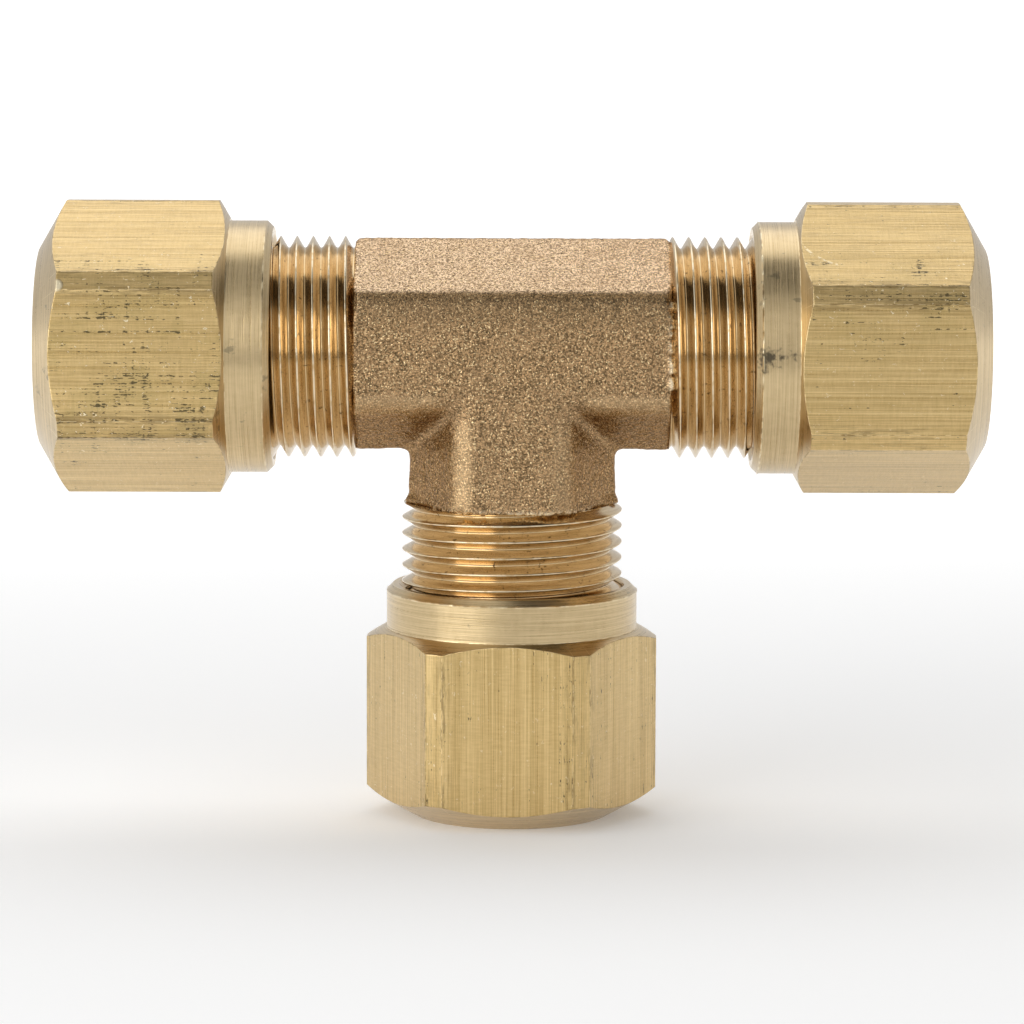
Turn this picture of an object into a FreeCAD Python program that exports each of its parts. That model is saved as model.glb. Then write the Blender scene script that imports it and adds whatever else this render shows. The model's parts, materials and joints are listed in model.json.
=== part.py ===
"""Brass compression union tee for 12.7 mm (1/2 in) plastic tube, with three nuts.

The run lies along X and the branch points down, along -Z. Each leg carries a
tube support, a sleeve and a nut on an 11/16-20 right-hand thread. All lengths
are in millimetres. A leg is drawn along its own +Z axis, with S the distance
from the point where the three axes cross, and is then turned into place.
"""
import FreeCAD, Part
import math
import os

V = FreeCAD.Vector

# Height of the crossing above the surface that the branch nut stands on.
CROSS_Z = 37.10

# Thread, 11/16-20: pitch, crest and root radii, outside and inside.
PITCH = 1.27
MALE_CREST_R = 8.70
MALE_ROOT_R = 7.80
FEMALE_CREST_R = 8.05
FEMALE_ROOT_R = 8.82
FLANK = math.tan(math.radians(30.0))
MALE_ROOT_HALF = 0.055
AXIAL_PLAY = 0.12

# Forged tee body: six-sided bar sections with their sharp edges at mid depth.
# The run's bar is a little taller than the branch's and sits a little high.
SHOULDER_S = 12.35
MALE_END_S = 23.60
RUN_EDGE = 8.33
RUN_RISE = 0.25
BRANCH_EDGE = 8.15
BAR_DEPTH = 7.90
BAR_FACE_HALF = 4.30
BAR_FILLET_R = 2.20
VALLEY_FILLET_R = 1.00
MALE_END_CHAMFER = 0.95
BAR_BEVEL_END_R = 7.95

# Water way and tube socket inside the body.
PASSAGE_R = 5.20
SOCKET_R = 6.42
SOCKET_S = 13.00
SEAT_MOUTH_R = 7.30
SEAT_ANGLE = 12.0

# Nut: collar, hexagon, chamfers.
NUT_IN_S = 18.76
COLLAR_END_S = 22.17
NUT_OUT_S = 37.10
COLLAR_R = 9.90
COLLAR_CHAMFER = 0.50
HEX_FLAT_R = 10.32
HEX_CORNER_FLAT_R = 11.48
CORNER_CLEAR_R = 12.50
IN_CHAMFER_R = 10.04
OUT_CHAMFER_R = 7.80
HEX_CHAMFER = math.tan(math.radians(30.0))

# Inside of the nut.
THREAD_MOUTH_R = 8.95
RELIEF_S = 29.50
RELIEF_END_S = 30.80
RELIEF_R = 8.95
SLEEVE_ROOM_R = 7.75
LAND_S = 34.20
MOUTH_R = 6.50
MOUTH_CHAMFER = 0.25
SHOULDER_ANGLE = 30.0

# Sleeve, tapered at both ends.
SLEEVE_BORE_R = 6.45
SLEEVE_NOSE_S = 26.10
SLEEVE_NOSE_R = 6.70
SLEEVE_R = 7.50
SLEEVE_REAR_S = 32.35
SLEEVE_END_S = 33.65
SLEEVE_END_R = 6.75

# Tube support: a flange against the end of the socket and a thin barrel.
SUPPORT_S = 13.00
SUPPORT_FLANGE = 0.90
SUPPORT_FLANGE_R = 6.40
SUPPORT_R = 4.67
SUPPORT_BORE_R = 4.15
SUPPORT_END_S = 29.50
SUPPORT_LEAD = 0.30

# Distance S of a thread crest on a leg's own X axis.
CREST_S = 13.13

# Cutting tools reach this far past what they cut: a little past a groove's
# open side, past the end of a turned face, and clear of the whole tee.
GROOVE_PAST = 0.07
FACE_PAST = 1.0
FAR = 20.0

# The smallest extent of an edge that slants along X, Y and Z at once.
SLANT = 1.0
NEAR = 1e-3

# Each leg: outward axis, the direction of its X axis before it is turned, the
# turn that sets where its thread starts, and the turn of the nut's hexagon,
# both in degrees about the outward axis.
LEGS = {
    "left": (V(-1, 0, 0), V(0, 0, 1), 0.0, 31.3),
    "right": (V(1, 0, 0), V(0, 0, 1), -198.4, 33.8),
    "branch": (V(0, 0, -1), V(0, -1, 0), 2.8, 1.7),
}


def leg_placement(leg):
    """The turn and shift that puts a leg's own frame in the tee's frame."""
    out, side, thread_turn, _hex_turn = LEGS[leg]
    rotation = FreeCAD.Rotation(side, V(0, 0, 0), out, "ZXY")
    own_turn = FreeCAD.Rotation(V(0, 0, 1), thread_turn)
    return FreeCAD.Placement(V(0, 0, CROSS_Z), rotation.multiply(own_turn))


def placed(shape, leg):
    """A copy of the shape, moved from the leg's frame to the tee's frame."""
    moved = shape.copy()
    moved.Placement = leg_placement(leg)
    return moved


def revolved(points):
    """A solid of revolution about Z from (radius, s) points."""
    corners = [V(r, 0, s) for r, s in points]
    wire = Part.makePolygon(corners + [corners[0]])
    return Part.Face(wire).revolve(V(0, 0, 0), V(0, 0, 1), 360)


def helical_groove(points, start_s, end_s, zero_s):
    """A tool swept along a right-hand helix.

    points are (radius, offset along the axis) about a helix that passes
    angle zero at zero_s.
    """
    turns_back = math.ceil((zero_s - start_s) / PITCH)
    first_s = zero_s - turns_back * PITCH
    turns = math.ceil((end_s - first_s) / PITCH) + 0.5
    path = Part.makeHelix(PITCH, turns * PITCH, MALE_CREST_R)
    corners = [V(r, 0, offset) for r, offset in points]
    profile = Part.makePolygon(corners + [corners[0]])
    tool = Part.Wire(path).makePipeShell([profile], True, True)
    tool.translate(V(0, 0, first_s))
    return tool


def male_groove():
    """The V groove between the crests of the outside thread."""
    outer_r = MALE_CREST_R + GROOVE_PAST
    half = MALE_ROOT_HALF
    wide = half + (outer_r - MALE_ROOT_R) * FLANK
    points = [
        (MALE_ROOT_R, -half),
        (outer_r, -wide),
        (outer_r, wide),
        (MALE_ROOT_R, half),
    ]
    return helical_groove(points, SHOULDER_S, MALE_END_S + FACE_PAST, CREST_S + PITCH / 2)


def female_groove():
    """The V groove of the inside thread, centred on the outside crest."""
    inner_r = FEMALE_CREST_R - GROOVE_PAST
    ridge = MALE_ROOT_HALF + (FEMALE_ROOT_R - MALE_ROOT_R) * FLANK - AXIAL_PLAY
    half = PITCH / 2 - ridge
    wide = half + (FEMALE_ROOT_R - inner_r) * FLANK
    points = [
        (FEMALE_ROOT_R, -half),
        (inner_r, -wide),
        (inner_r, wide),
        (FEMALE_ROOT_R, half),
    ]
    return helical_groove(points, NUT_IN_S - FACE_PAST, RELIEF_S + PITCH / 2, CREST_S)


def bar_section(centre, across, edge):
    """The six-sided section of a forged bar, as a face."""
    deep = V(0, 1, 0)
    corners = [
        centre + across * edge,
        centre + across * BAR_FACE_HALF + deep * BAR_DEPTH,
        centre - across * BAR_FACE_HALF + deep * BAR_DEPTH,
        centre - across * edge,
        centre - across * BAR_FACE_HALF - deep * BAR_DEPTH,
        centre + across * BAR_FACE_HALF - deep * BAR_DEPTH,
    ]
    return Part.Face(Part.makePolygon(corners + [corners[0]]))


def edge_is_valley(edge):
    """True for the four creases where the branch bar leaves the run bar.

    They are the only edges of the bars that slant along X, Y and Z at once.
    """
    box = edge.BoundBox
    return min(box.XLength, box.YLength, box.ZLength) > SLANT


def edge_is_face_border(edge):
    """True for the edges round the flat front and back faces."""
    on_face = all(abs(abs(v.Point.y) - BAR_DEPTH) < NEAR for v in edge.Vertexes)
    box = edge.BoundBox
    on_run_end = abs(abs(box.XMin) - SHOULDER_S) < NEAR and box.XLength < NEAR
    on_branch_end = abs(box.ZMin - (CROSS_Z - SHOULDER_S)) < NEAR and box.ZLength < NEAR
    return on_face and not on_run_end and not on_branch_end


def forged_blank():
    """The run bar and the branch bar in one, with rounded edges and creases."""
    run = bar_section(V(-SHOULDER_S, 0, CROSS_Z + RUN_RISE), V(0, 0, 1), RUN_EDGE)
    run = run.extrude(V(2 * SHOULDER_S, 0, 0))
    branch = bar_section(V(0, 0, CROSS_Z), V(1, 0, 0), BRANCH_EDGE)
    branch = branch.extrude(V(0, 0, -SHOULDER_S))
    blank = run.fuse(branch).removeSplitter()
    valleys = [e for e in blank.Edges if edge_is_valley(e)]
    blank = blank.makeFillet(VALLEY_FILLET_R, valleys)
    borders = [e for e in blank.Edges if edge_is_face_border(e)]
    return blank.makeFillet(BAR_FILLET_R, borders)


def bar_end_bevel():
    """A cone that bounds the forged bar where a leg's turned end meets it."""
    points = [
        (0, -FAR),
        (FAR, -FAR),
        (FAR, SHOULDER_S - (FAR - BAR_BEVEL_END_R)),
        (BAR_BEVEL_END_R, SHOULDER_S),
        (0, SHOULDER_S),
    ]
    return revolved(points)


def male_stub():
    """The threaded round end of a leg, hollow, outward from its shoulder."""
    end_r = MALE_CREST_R - MALE_END_CHAMFER
    seat_depth = (SEAT_MOUTH_R - SOCKET_R) / math.tan(math.radians(SEAT_ANGLE))
    points = [
        (SOCKET_R, SHOULDER_S),
        (MALE_CREST_R, SHOULDER_S),
        (MALE_CREST_R, MALE_END_S - MALE_END_CHAMFER * FLANK),
        (end_r, MALE_END_S),
        (SEAT_MOUTH_R, MALE_END_S),
        (SOCKET_R, MALE_END_S - seat_depth),
    ]
    return revolved(points).cut(male_groove())


def leg_bore():
    """The passage and the end of the tube socket inside the forged bars."""
    points = [
        (0, 0),
        (PASSAGE_R, 0),
        (PASSAGE_R, SOCKET_S),
        (SOCKET_R, SOCKET_S),
        (SOCKET_R, SOCKET_S + FACE_PAST),
        (0, SOCKET_S + FACE_PAST),
    ]
    return revolved(points)


def tee_body():
    """The forged body with its three threaded, bored legs."""
    body = forged_blank()
    for leg in LEGS:
        body = body.common(placed(bar_end_bevel(), leg))
    for leg in LEGS:
        body = body.fuse(placed(male_stub(), leg))
    for leg in LEGS:
        body = body.cut(placed(leg_bore(), leg))
    return body


def hexagon(turn):
    """The nut's hexagonal prism with its corners cut to narrow flats."""
    corners = []
    corner_cut = HEX_FLAT_R / math.cos(math.radians(30)) - HEX_CORNER_FLAT_R
    half_corner = corner_cut / math.tan(math.radians(30))
    away = math.hypot(HEX_CORNER_FLAT_R, half_corner)
    swing = math.degrees(math.atan2(half_corner, HEX_CORNER_FLAT_R))
    for k in range(6):
        for side in (-1, 1):
            angle = math.radians(turn + 30 + 60 * k + side * swing)
            corners.append(V(away * math.cos(angle), away * math.sin(angle), COLLAR_END_S))
    face = Part.Face(Part.makePolygon(corners + [corners[0]]))
    return face.extrude(V(0, 0, NUT_OUT_S - COLLAR_END_S))


def hex_chamfers():
    """A body of revolution that bounds the hexagon's two ends."""
    rise_in = (CORNER_CLEAR_R - IN_CHAMFER_R) * HEX_CHAMFER
    rise_out = (CORNER_CLEAR_R - OUT_CHAMFER_R) * HEX_CHAMFER
    points = [
        (0, COLLAR_END_S),
        (IN_CHAMFER_R, COLLAR_END_S),
        (CORNER_CLEAR_R, COLLAR_END_S + rise_in),
        (CORNER_CLEAR_R, NUT_OUT_S - rise_out),
        (OUT_CHAMFER_R, NUT_OUT_S),
        (0, NUT_OUT_S),
    ]
    return revolved(points)


def nut_collar():
    """The round collar on the nut's inner end."""
    points = [
        (0, NUT_IN_S),
        (COLLAR_R - COLLAR_CHAMFER, NUT_IN_S),
        (COLLAR_R, NUT_IN_S + COLLAR_CHAMFER),
        (COLLAR_R, COLLAR_END_S + FACE_PAST),
        (0, COLLAR_END_S + FACE_PAST),
    ]
    return revolved(points)


def nut_hollow():
    """Everything inside the nut but its thread."""
    slope = math.tan(math.radians(SHOULDER_ANGLE))
    cone_s = LAND_S - (SLEEVE_ROOM_R - MOUTH_R) / slope
    mouth_s = NUT_IN_S + (THREAD_MOUTH_R - FEMALE_CREST_R)
    points = [
        (0, NUT_IN_S - FACE_PAST),
        (THREAD_MOUTH_R, NUT_IN_S - FACE_PAST),
        (THREAD_MOUTH_R, NUT_IN_S),
        (FEMALE_CREST_R, mouth_s),
        (FEMALE_CREST_R, RELIEF_S),
        (RELIEF_R, RELIEF_S),
        (RELIEF_R, RELIEF_END_S),
        (SLEEVE_ROOM_R, RELIEF_END_S),
        (SLEEVE_ROOM_R, cone_s),
        (MOUTH_R, LAND_S),
        (MOUTH_R, NUT_OUT_S - MOUTH_CHAMFER),
        (MOUTH_R + MOUTH_CHAMFER + FACE_PAST, NUT_OUT_S + FACE_PAST),
        (0, NUT_OUT_S + FACE_PAST),
    ]
    return revolved(points)


def nut(leg):
    """One nut, its thread in step with its leg's."""
    _out, _side, thread_turn, hex_turn = LEGS[leg]
    solid = hexagon(hex_turn - thread_turn).common(hex_chamfers())
    solid = solid.fuse(nut_collar()).removeSplitter()
    solid = solid.cut(nut_hollow())
    solid = solid.cut(female_groove())
    return placed(solid, leg)


def sleeve(leg):
    """The double-tapered ring that grips the tube."""
    slope = math.tan(math.radians(SEAT_ANGLE))
    full_s = SLEEVE_NOSE_S + (SLEEVE_R - SLEEVE_NOSE_R) / slope
    points = [
        (SLEEVE_BORE_R, SLEEVE_NOSE_S),
        (SLEEVE_NOSE_R, SLEEVE_NOSE_S),
        (SLEEVE_R, full_s),
        (SLEEVE_R, SLEEVE_REAR_S),
        (SLEEVE_END_R, SLEEVE_END_S),
        (SLEEVE_BORE_R, SLEEVE_END_S),
    ]
    return placed(revolved(points), leg)


def tube_support(leg):
    """The flanged barrel that holds the tube's wall from inside."""
    flange_s = SUPPORT_S + SUPPORT_FLANGE
    points = [
        (SUPPORT_BORE_R, SUPPORT_S),
        (SUPPORT_FLANGE_R, SUPPORT_S),
        (SUPPORT_FLANGE_R, flange_s),
        (SUPPORT_R, flange_s),
        (SUPPORT_R, SUPPORT_END_S - 2 * SUPPORT_LEAD),
        (SUPPORT_R - SUPPORT_LEAD, SUPPORT_END_S),
        (SUPPORT_BORE_R, SUPPORT_END_S),
    ]
    return placed(revolved(points), leg)


def only_solid(shape):
    """The single valid solid in the shape."""
    solids = shape.Solids
    if len(solids) != 1 or not solids[0].isValid():
        raise ValueError("expected one valid solid, got %d" % len(solids))
    return solids[0]


def main():
    os.makedirs("parts", exist_ok=True)
    nodes = {"tee_body": tee_body()}
    for leg in LEGS:
        nodes[leg + "_nut"] = nut(leg)
        nodes[leg + "_sleeve"] = sleeve(leg)
        nodes[leg + "_tube_support"] = tube_support(leg)
    for name, shape in nodes.items():
        solid = only_solid(shape)
        solid.exportStep(os.path.join("parts", name + ".step"))
        print("%-20s %9.2f mm3  %d faces" % (name, solid.Volume, len(solid.Faces)))


main()
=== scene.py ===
"""Looks of a brass compression union tee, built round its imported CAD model.

The CAD nodes set every place and size. Finer pieces stand for them: the
sandblasted forging, its three threaded legs, the nuts, the sleeves and the
tube supports. Lengths in this script are in millimetres unless a name says
otherwise, and meshes are scaled to metres as they are made.
"""

import json
import math

import bmesh
import bpy
import numpy as np
from mathutils import Matrix, Vector, noise


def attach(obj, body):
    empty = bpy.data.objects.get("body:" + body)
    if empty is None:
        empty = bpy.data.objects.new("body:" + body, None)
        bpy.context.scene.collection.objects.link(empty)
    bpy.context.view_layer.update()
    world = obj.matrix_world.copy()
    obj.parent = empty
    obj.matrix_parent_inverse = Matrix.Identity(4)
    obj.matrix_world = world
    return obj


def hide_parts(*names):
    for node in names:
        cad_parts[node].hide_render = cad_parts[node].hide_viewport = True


MM = 0.001
WELD_M = 2e-7
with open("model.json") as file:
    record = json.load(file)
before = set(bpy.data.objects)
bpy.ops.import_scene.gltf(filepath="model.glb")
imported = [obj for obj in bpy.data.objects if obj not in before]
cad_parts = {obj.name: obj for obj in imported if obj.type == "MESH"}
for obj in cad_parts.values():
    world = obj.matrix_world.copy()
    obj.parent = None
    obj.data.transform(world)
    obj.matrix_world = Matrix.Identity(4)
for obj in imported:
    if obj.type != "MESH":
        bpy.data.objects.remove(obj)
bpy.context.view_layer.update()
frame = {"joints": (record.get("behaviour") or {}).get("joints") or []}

# ---------------------------------------------------------------- sizes

JOINTS = {joint["name"]: joint for joint in frame["joints"]}
CROSS = np.array(JOINTS["left_nut_turn"]["pos_m"]) / MM

PITCH = 1.27
CREST_S = 13.13
SHOULDER_S = 12.35
MALE_END_S = 23.60
SEAT_MOUTH_R = 7.30
SOCKET_R = 6.42
SOCKET_S = 13.00
SEAT_SLOPE = math.tan(math.radians(12.0))
PASSAGE_R = 5.20
MALE_END_R = 7.75

NUT_IN_S = 18.76
COLLAR_END_S = 22.17
NUT_OUT_S = 37.10
COLLAR_R = 9.90
COLLAR_CHAMFER = 0.50
FLAT_R = 10.32
CORNER_FLAT_R = 11.48
IN_CHAMFER_R = 10.04
OUT_CHAMFER_R = 7.80
HEX_SLOPE = math.tan(math.radians(30.0))
FLAT_HALF = 2 * CORNER_FLAT_R - FLAT_R * math.sqrt(3)
THREAD_MOUTH_R = 8.95
RELIEF_S = 29.50
RELIEF_END_S = 30.80
SLEEVE_ROOM_R = 7.75
LAND_S = 34.20
MOUTH_R = 6.50

RUN_EDGE = 8.33
RUN_RISE = 0.25
BRANCH_EDGE = 8.15
BAR_DEPTH = 7.90
BAR_FACE_HALF = 4.30
BAR_FILLET = 2.20
FLASH_HALF = 0.32
ARRIS_CUT = 1.0
GUARD = 0.07
BEVEL_END_R = 8.25
LEG_OVERLAP = 0.05
LEG_ROOT_R = 7.00
LEG_ROOT_DEPTH = 0.40
PASSAGE_GAP = 0.02
MOUTH_CHAMFER = 0.25
COLLAR_EDGE_R = 0.10
HEX_EDGE_R = 0.14

# A nut's hexagon has six flats and six narrow ones over its corners.
SIDES = 12
SIDE_TURN = 360 / SIDES

# Steps of the meshes: round a leg, round a ring, round a cutting tool, across
# a flat and a narrow flat of a nut, and along its hexagon.
LEG_STEPS = 180
RING_STEPS = 120
TOOL_STEPS = 96
FLAT_STEPS = 22
CORNER_FLAT_STEPS = 3
HEX_LENGTH_STEPS = 12
TOOL_REACH = 20.0

# Offset from a crest along the axis, and radius there, over one pitch.
MALE_THREAD = [
    (0.000, 8.700),
    (0.035, 8.695),
    (0.075, 8.655),
    (0.200, 8.440),
    (0.330, 8.215),
    (0.460, 7.990),
    (0.550, 7.850),
    (0.595, 7.805),
    (0.635, 7.795),
]
FEMALE_THREAD = [
    (0.000, 8.82),
    (0.110, 8.81),
    (0.330, 8.44),
    (0.550, 8.06),
    (0.590, 8.05),
    (0.635, 8.05),
]

# Outward axis, the direction of angle zero, where the thread and the
# hexagon are turned to, and where the streaks of its metal are drawn from.
LEGS = {
    "left": ((-1, 0, 0), (0, 0, 1), 0.0, 31.3, 0.0),
    "right": ((1, 0, 0), (0, 0, 1), -198.4, 33.8, 40.0),
    "branch": ((0, 0, -1), (0, -1, 0), 2.8, 1.7, 80.0),
}

# How dirty a nut is at each flat and each cut corner, by their angle.
SOIL = {
    "left": (0.3, 0.3, 0.3, 0.3, 0.3, 0.3, 0.0, 1.0, 0.9, 0.7, 0.0, 0.2),
    "right": (0.0, 0.9, 0.15, 0.2, 0.0, 0.3, 0.3, 0.3, 0.3, 0.3, 0.3, 0.2),
    "branch": (0.0, 0.3, 0.0, 0.3, 0.3, 0.3, 0.3, 0.3, 0.3, 0.2, 0.0, 0.25),
}
# The band of dirt on a flat beside each cut corner, how far into the corner it
# fades, and how much cleaner the corner is.
DIRT_BAND = 0.9
DIRT_FADE = 0.2
CORNER_CLEAN = 0.7
# How far the burr stands up on the inner rim of each nut's collar.
RIM_BURR = {"left": 0.03, "right": 0.20, "branch": 0.10}
# The outward bend, in degrees, at which a thread's crest starts to look worn
# and at which it is fully worn.
CREST_BEND = (20.0, 34.0)


# ---------------------------------------------------------------- mesh tools

def smooth_step(x, low, high):
    """0 at low and 1 at high, eased between and level beyond."""
    t = np.clip((x - low) / (high - low), 0, 1)
    return t * t * (3 - 2 * t)


def leg_axes(leg):
    """The world directions of a leg's x, y and s axes, as rows."""
    out, side, thread_turn, _hex_turn, _offset = LEGS[leg]
    s_axis = np.array(out, float)
    x_axis = np.array(side, float)
    y_axis = np.cross(s_axis, x_axis)
    turn = math.radians(thread_turn)
    x_turned = x_axis * math.cos(turn) + y_axis * math.sin(turn)
    return np.array([x_turned, np.cross(s_axis, x_turned), s_axis])


def fractal(point, scale, octaves):
    """Layered noise about zero."""
    return noise.fractal(Vector(point) * scale, 1.0, 2.0, octaves)


def rounded(points, step_count=3, guard=None):
    """A polyline of (r, s, corner radius) with its corners made round.

    A guard is a length: a point is added that far beyond each rounding.
    """
    out = []
    for k, (r, s, corner) in enumerate(points):
        if corner == 0:
            out.append((r, s))
            continue
        here = np.array([r, s])
        before = np.array(points[k - 1][:2]) - here
        after = np.array(points[(k + 1) % len(points)][:2]) - here
        reach = min(np.linalg.norm(before), np.linalg.norm(after)) * 0.45
        before_length = np.linalg.norm(before)
        after_length = np.linalg.norm(after)
        before = before / before_length
        after = after / after_length
        half = 0.5 * math.acos(np.clip(before @ after, -1, 1))
        cut = min(corner / math.tan(half), reach)
        a = here + before * cut
        b = here + after * cut
        if guard:
            out.append(tuple(here + before * min(cut + guard, 0.49 * before_length)))
        for step in range(step_count + 1):
            t = step / step_count
            out.append(tuple((1 - t) ** 2 * a + 2 * t * (1 - t) * here + t * t * b))
        if guard:
            out.append(tuple(here + after * min(cut + guard, 0.49 * after_length)))
    return out


def rounding_marks(points, step_count):
    """1 for each point that rounded() puts on a guarded corner, 0 for others."""
    marks = []
    for _r, _s, corner in points:
        if corner == 0:
            marks.append(0)
        else:
            marks += [0, 0] + [1] * (step_count - 1) + [0, 0]
    return np.array(marks)


def weld(mesh, dist):
    """Joins vertices that coincide, and drops faces with no area."""
    bm = bmesh.new()
    bm.from_mesh(mesh)
    bmesh.ops.remove_doubles(bm, verts=bm.verts, dist=dist)
    bmesh.ops.dissolve_degenerate(bm, edges=bm.edges, dist=dist)
    bmesh.ops.recalc_face_normals(bm, faces=bm.faces)
    bm.to_mesh(mesh)
    bm.free()


def add_object(name, data):
    """A new object in the scene."""
    obj = bpy.data.objects.new(name, data)
    bpy.context.scene.collection.objects.link(obj)
    return obj


def vertex_vectors(mesh, kind):
    """The mesh's vertex places or normals, one row for each vertex."""
    values = np.zeros(len(mesh.vertices) * 3)
    mesh.vertices.foreach_get(kind, values)
    return values.reshape(-1, 3)


def from_cross(mesh):
    """The mesh's vertex places in millimetres, from where the legs cross."""
    return vertex_vectors(mesh, "co") / MM - CROSS


def store_leg_co(obj, axes, offset):
    """Keeps each vertex's place in its leg's own axes, for the materials."""
    local = from_cross(obj.data) @ axes.T + offset
    attribute = obj.data.attributes.new("leg_co", "FLOAT_VECTOR", "POINT")
    attribute.data.foreach_set("vector", local.astype(np.float32).ravel())


def store_number(mesh, name, values):
    """Keeps a number for each vertex."""
    attribute = mesh.attributes.new(name, "FLOAT", "POINT")
    attribute.data.foreach_set("value", np.asarray(values, np.float32).ravel())


def store_soil(obj, leg):
    """Keeps how dirty a nut is at each vertex, and the dirt by its corners."""
    _out, _side, thread_turn, hex_turn, _offset = LEGS[leg]
    local = from_cross(obj.data) @ leg_axes(leg).T
    angle = np.degrees(np.arctan2(local[:, 1], local[:, 0])) - (hex_turn - thread_turn)
    side = np.mod(angle, 360.0) / SIDE_TURN
    soil = np.interp(side, range(SIDES + 1), SOIL[leg] + SOIL[leg][:1])
    store_number(obj.data, "soil", soil)
    from_flat = np.radians(np.mod(angle + SIDE_TURN, 2 * SIDE_TURN) - SIDE_TURN)
    along_flat = np.abs(np.sin(from_flat)) * np.hypot(local[:, 0], local[:, 1])
    beside = smooth_step(along_flat, FLAT_HALF - DIRT_BAND, FLAT_HALF)
    in_corner = smooth_step(along_flat, FLAT_HALF, FLAT_HALF + DIRT_FADE)
    store_number(obj.data, "corner", beside - CORNER_CLEAN * in_corner)


def store_wear(obj, low_degrees, high_degrees):
    """Keeps how sharply the surface bends outward at each vertex."""
    bm = bmesh.new()
    bm.from_mesh(obj.data)
    bend = np.zeros(len(bm.verts))
    for edge in bm.edges:
        angle = math.degrees(edge.calc_face_angle_signed(0.0))
        for vert in edge.verts:
            bend[vert.index] = max(bend[vert.index], angle)
    bm.free()
    store_number(obj.data, "wear", smooth_step(bend, low_degrees, high_degrees))


def finish_mesh(obj, leg, materials, sharp_degrees=38.0):
    """Material slots, shading and streak coordinates of a new piece."""
    for item in materials:
        obj.data.materials.append(item)
    obj.data.polygons.foreach_set("use_smooth", [True] * len(obj.data.polygons))
    obj.data.set_sharp_from_angle(angle=math.radians(sharp_degrees))
    store_leg_co(obj, leg_axes(leg), LEGS[leg][4])
    keep = obj.modifiers.new("flat_normals", "WEIGHTED_NORMAL")
    keep.keep_sharp = True
    keep.weight = 80
    return obj


def turned_piece(name, leg, radii, angles, heights, slots, wear=None):
    """A closed mesh of rings about a leg's axis.

    radii, angles and heights have one row per ring and one column per step
    round the axis, the last column closing on the first. slots gives each
    ring's material, and wear how worn each point is.
    """
    rows, columns = radii.shape
    local = np.stack([radii * np.cos(angles), radii * np.sin(angles), heights], -1)
    world = (local @ leg_axes(leg) + CROSS) * MM
    row = np.repeat(np.arange(rows), columns - 1)
    column = np.tile(np.arange(columns - 1), rows)
    after = (row + 1) % rows
    quads = np.stack(
        [
            row * columns + column,
            row * columns + column + 1,
            after * columns + column + 1,
            after * columns + column,
        ],
        -1,
    )
    mesh = bpy.data.meshes.new(name)
    mesh.from_pydata(world.reshape(-1, 3).tolist(), [], quads.tolist())
    mesh.polygons.foreach_set("material_index", np.array(slots)[row])
    if wear is not None:
        store_number(mesh, "wear", wear)
    weld(mesh, WELD_M)
    return add_object(name, mesh)


def thread_radius(profile, angles, heights):
    """The thread's radius at each angle and height along the leg."""
    offsets = [u for u, _r in profile]
    radii = [r for _u, r in profile]
    turn = (heights - CREST_S) / PITCH - angles / (2 * math.pi)
    from_crest = np.abs(turn - np.round(turn)) * PITCH
    return np.interp(from_crest, offsets, radii)


def thread_rows(profile, angles, low, high):
    """Heights of the helical rings that cover low to high at every angle."""
    offsets = [u for u, _r in profile]
    one_pitch = [-u for u in offsets[:0:-1]] + offsets[:-1]
    first = math.floor((low - CREST_S) / PITCH) - 2
    last = math.ceil((high - CREST_S) / PITCH) + 1
    rows = []
    for pitch_count in range(first, last):
        for offset in one_pitch:
            start = CREST_S + pitch_count * PITCH + offset
            rows.append(start + PITCH * angles / (2 * math.pi))
    return np.clip(np.array(rows), low, high)


def rings(points, columns):
    """Constant rings for a list of (r, s) points."""
    radii = np.array([[r] * columns for r, _s in points], float)
    heights = np.array([[s] * columns for _r, s in points], float)
    return radii, heights


# ---------------------------------------------------------------- pieces

def add_leg(leg, materials):
    """One threaded leg of the body, from inside its shoulder to its end.

    Slot 0 is its thread's metal, and slot 1 the metal of its bores and end.
    """
    angles = np.linspace(0, 2 * math.pi, LEG_STEPS + 1)
    low = SHOULDER_S - LEG_OVERLAP
    inner_top = MALE_END_S - (SEAT_MOUTH_R - SOCKET_R) / SEAT_SLOPE
    bore_points = rounded(
        [
            (LEG_ROOT_R, low, 0),
            (LEG_ROOT_R, low - LEG_ROOT_DEPTH, 0),
            (PASSAGE_R + PASSAGE_GAP, low - LEG_ROOT_DEPTH, 0),
            (PASSAGE_R + PASSAGE_GAP, SOCKET_S, 0.08),
            (SOCKET_R, SOCKET_S, 0),
            (SOCKET_R, inner_top, 0.5),
            (SEAT_MOUTH_R, MALE_END_S, 0.06),
            (MALE_END_R, MALE_END_S, 0.06),
        ]
    )
    bore_r, bore_s = rings(bore_points, len(angles))
    thread_s = thread_rows(MALE_THREAD, angles, low, MALE_END_S - 0.03)[::-1]
    around = np.broadcast_to(angles, thread_s.shape)
    thread_r = thread_radius(MALE_THREAD, around, thread_s)
    chamfer_r = MALE_END_R + (MALE_END_S - thread_s) / HEX_SLOPE
    thread_r = np.minimum(thread_r, chamfer_r)
    radii = np.vstack([bore_r, thread_r])
    heights = np.vstack([bore_s, thread_s])
    slots = [1] * len(bore_r) + [0] * len(thread_r)
    obj = turned_piece(
        leg + "_leg", leg, radii, np.broadcast_to(angles, radii.shape), heights, slots
    )
    finish_mesh(obj, leg, materials, 50.0)
    store_wear(obj, *CREST_BEND)
    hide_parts("tee_body")
    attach(obj, "tee")


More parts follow.
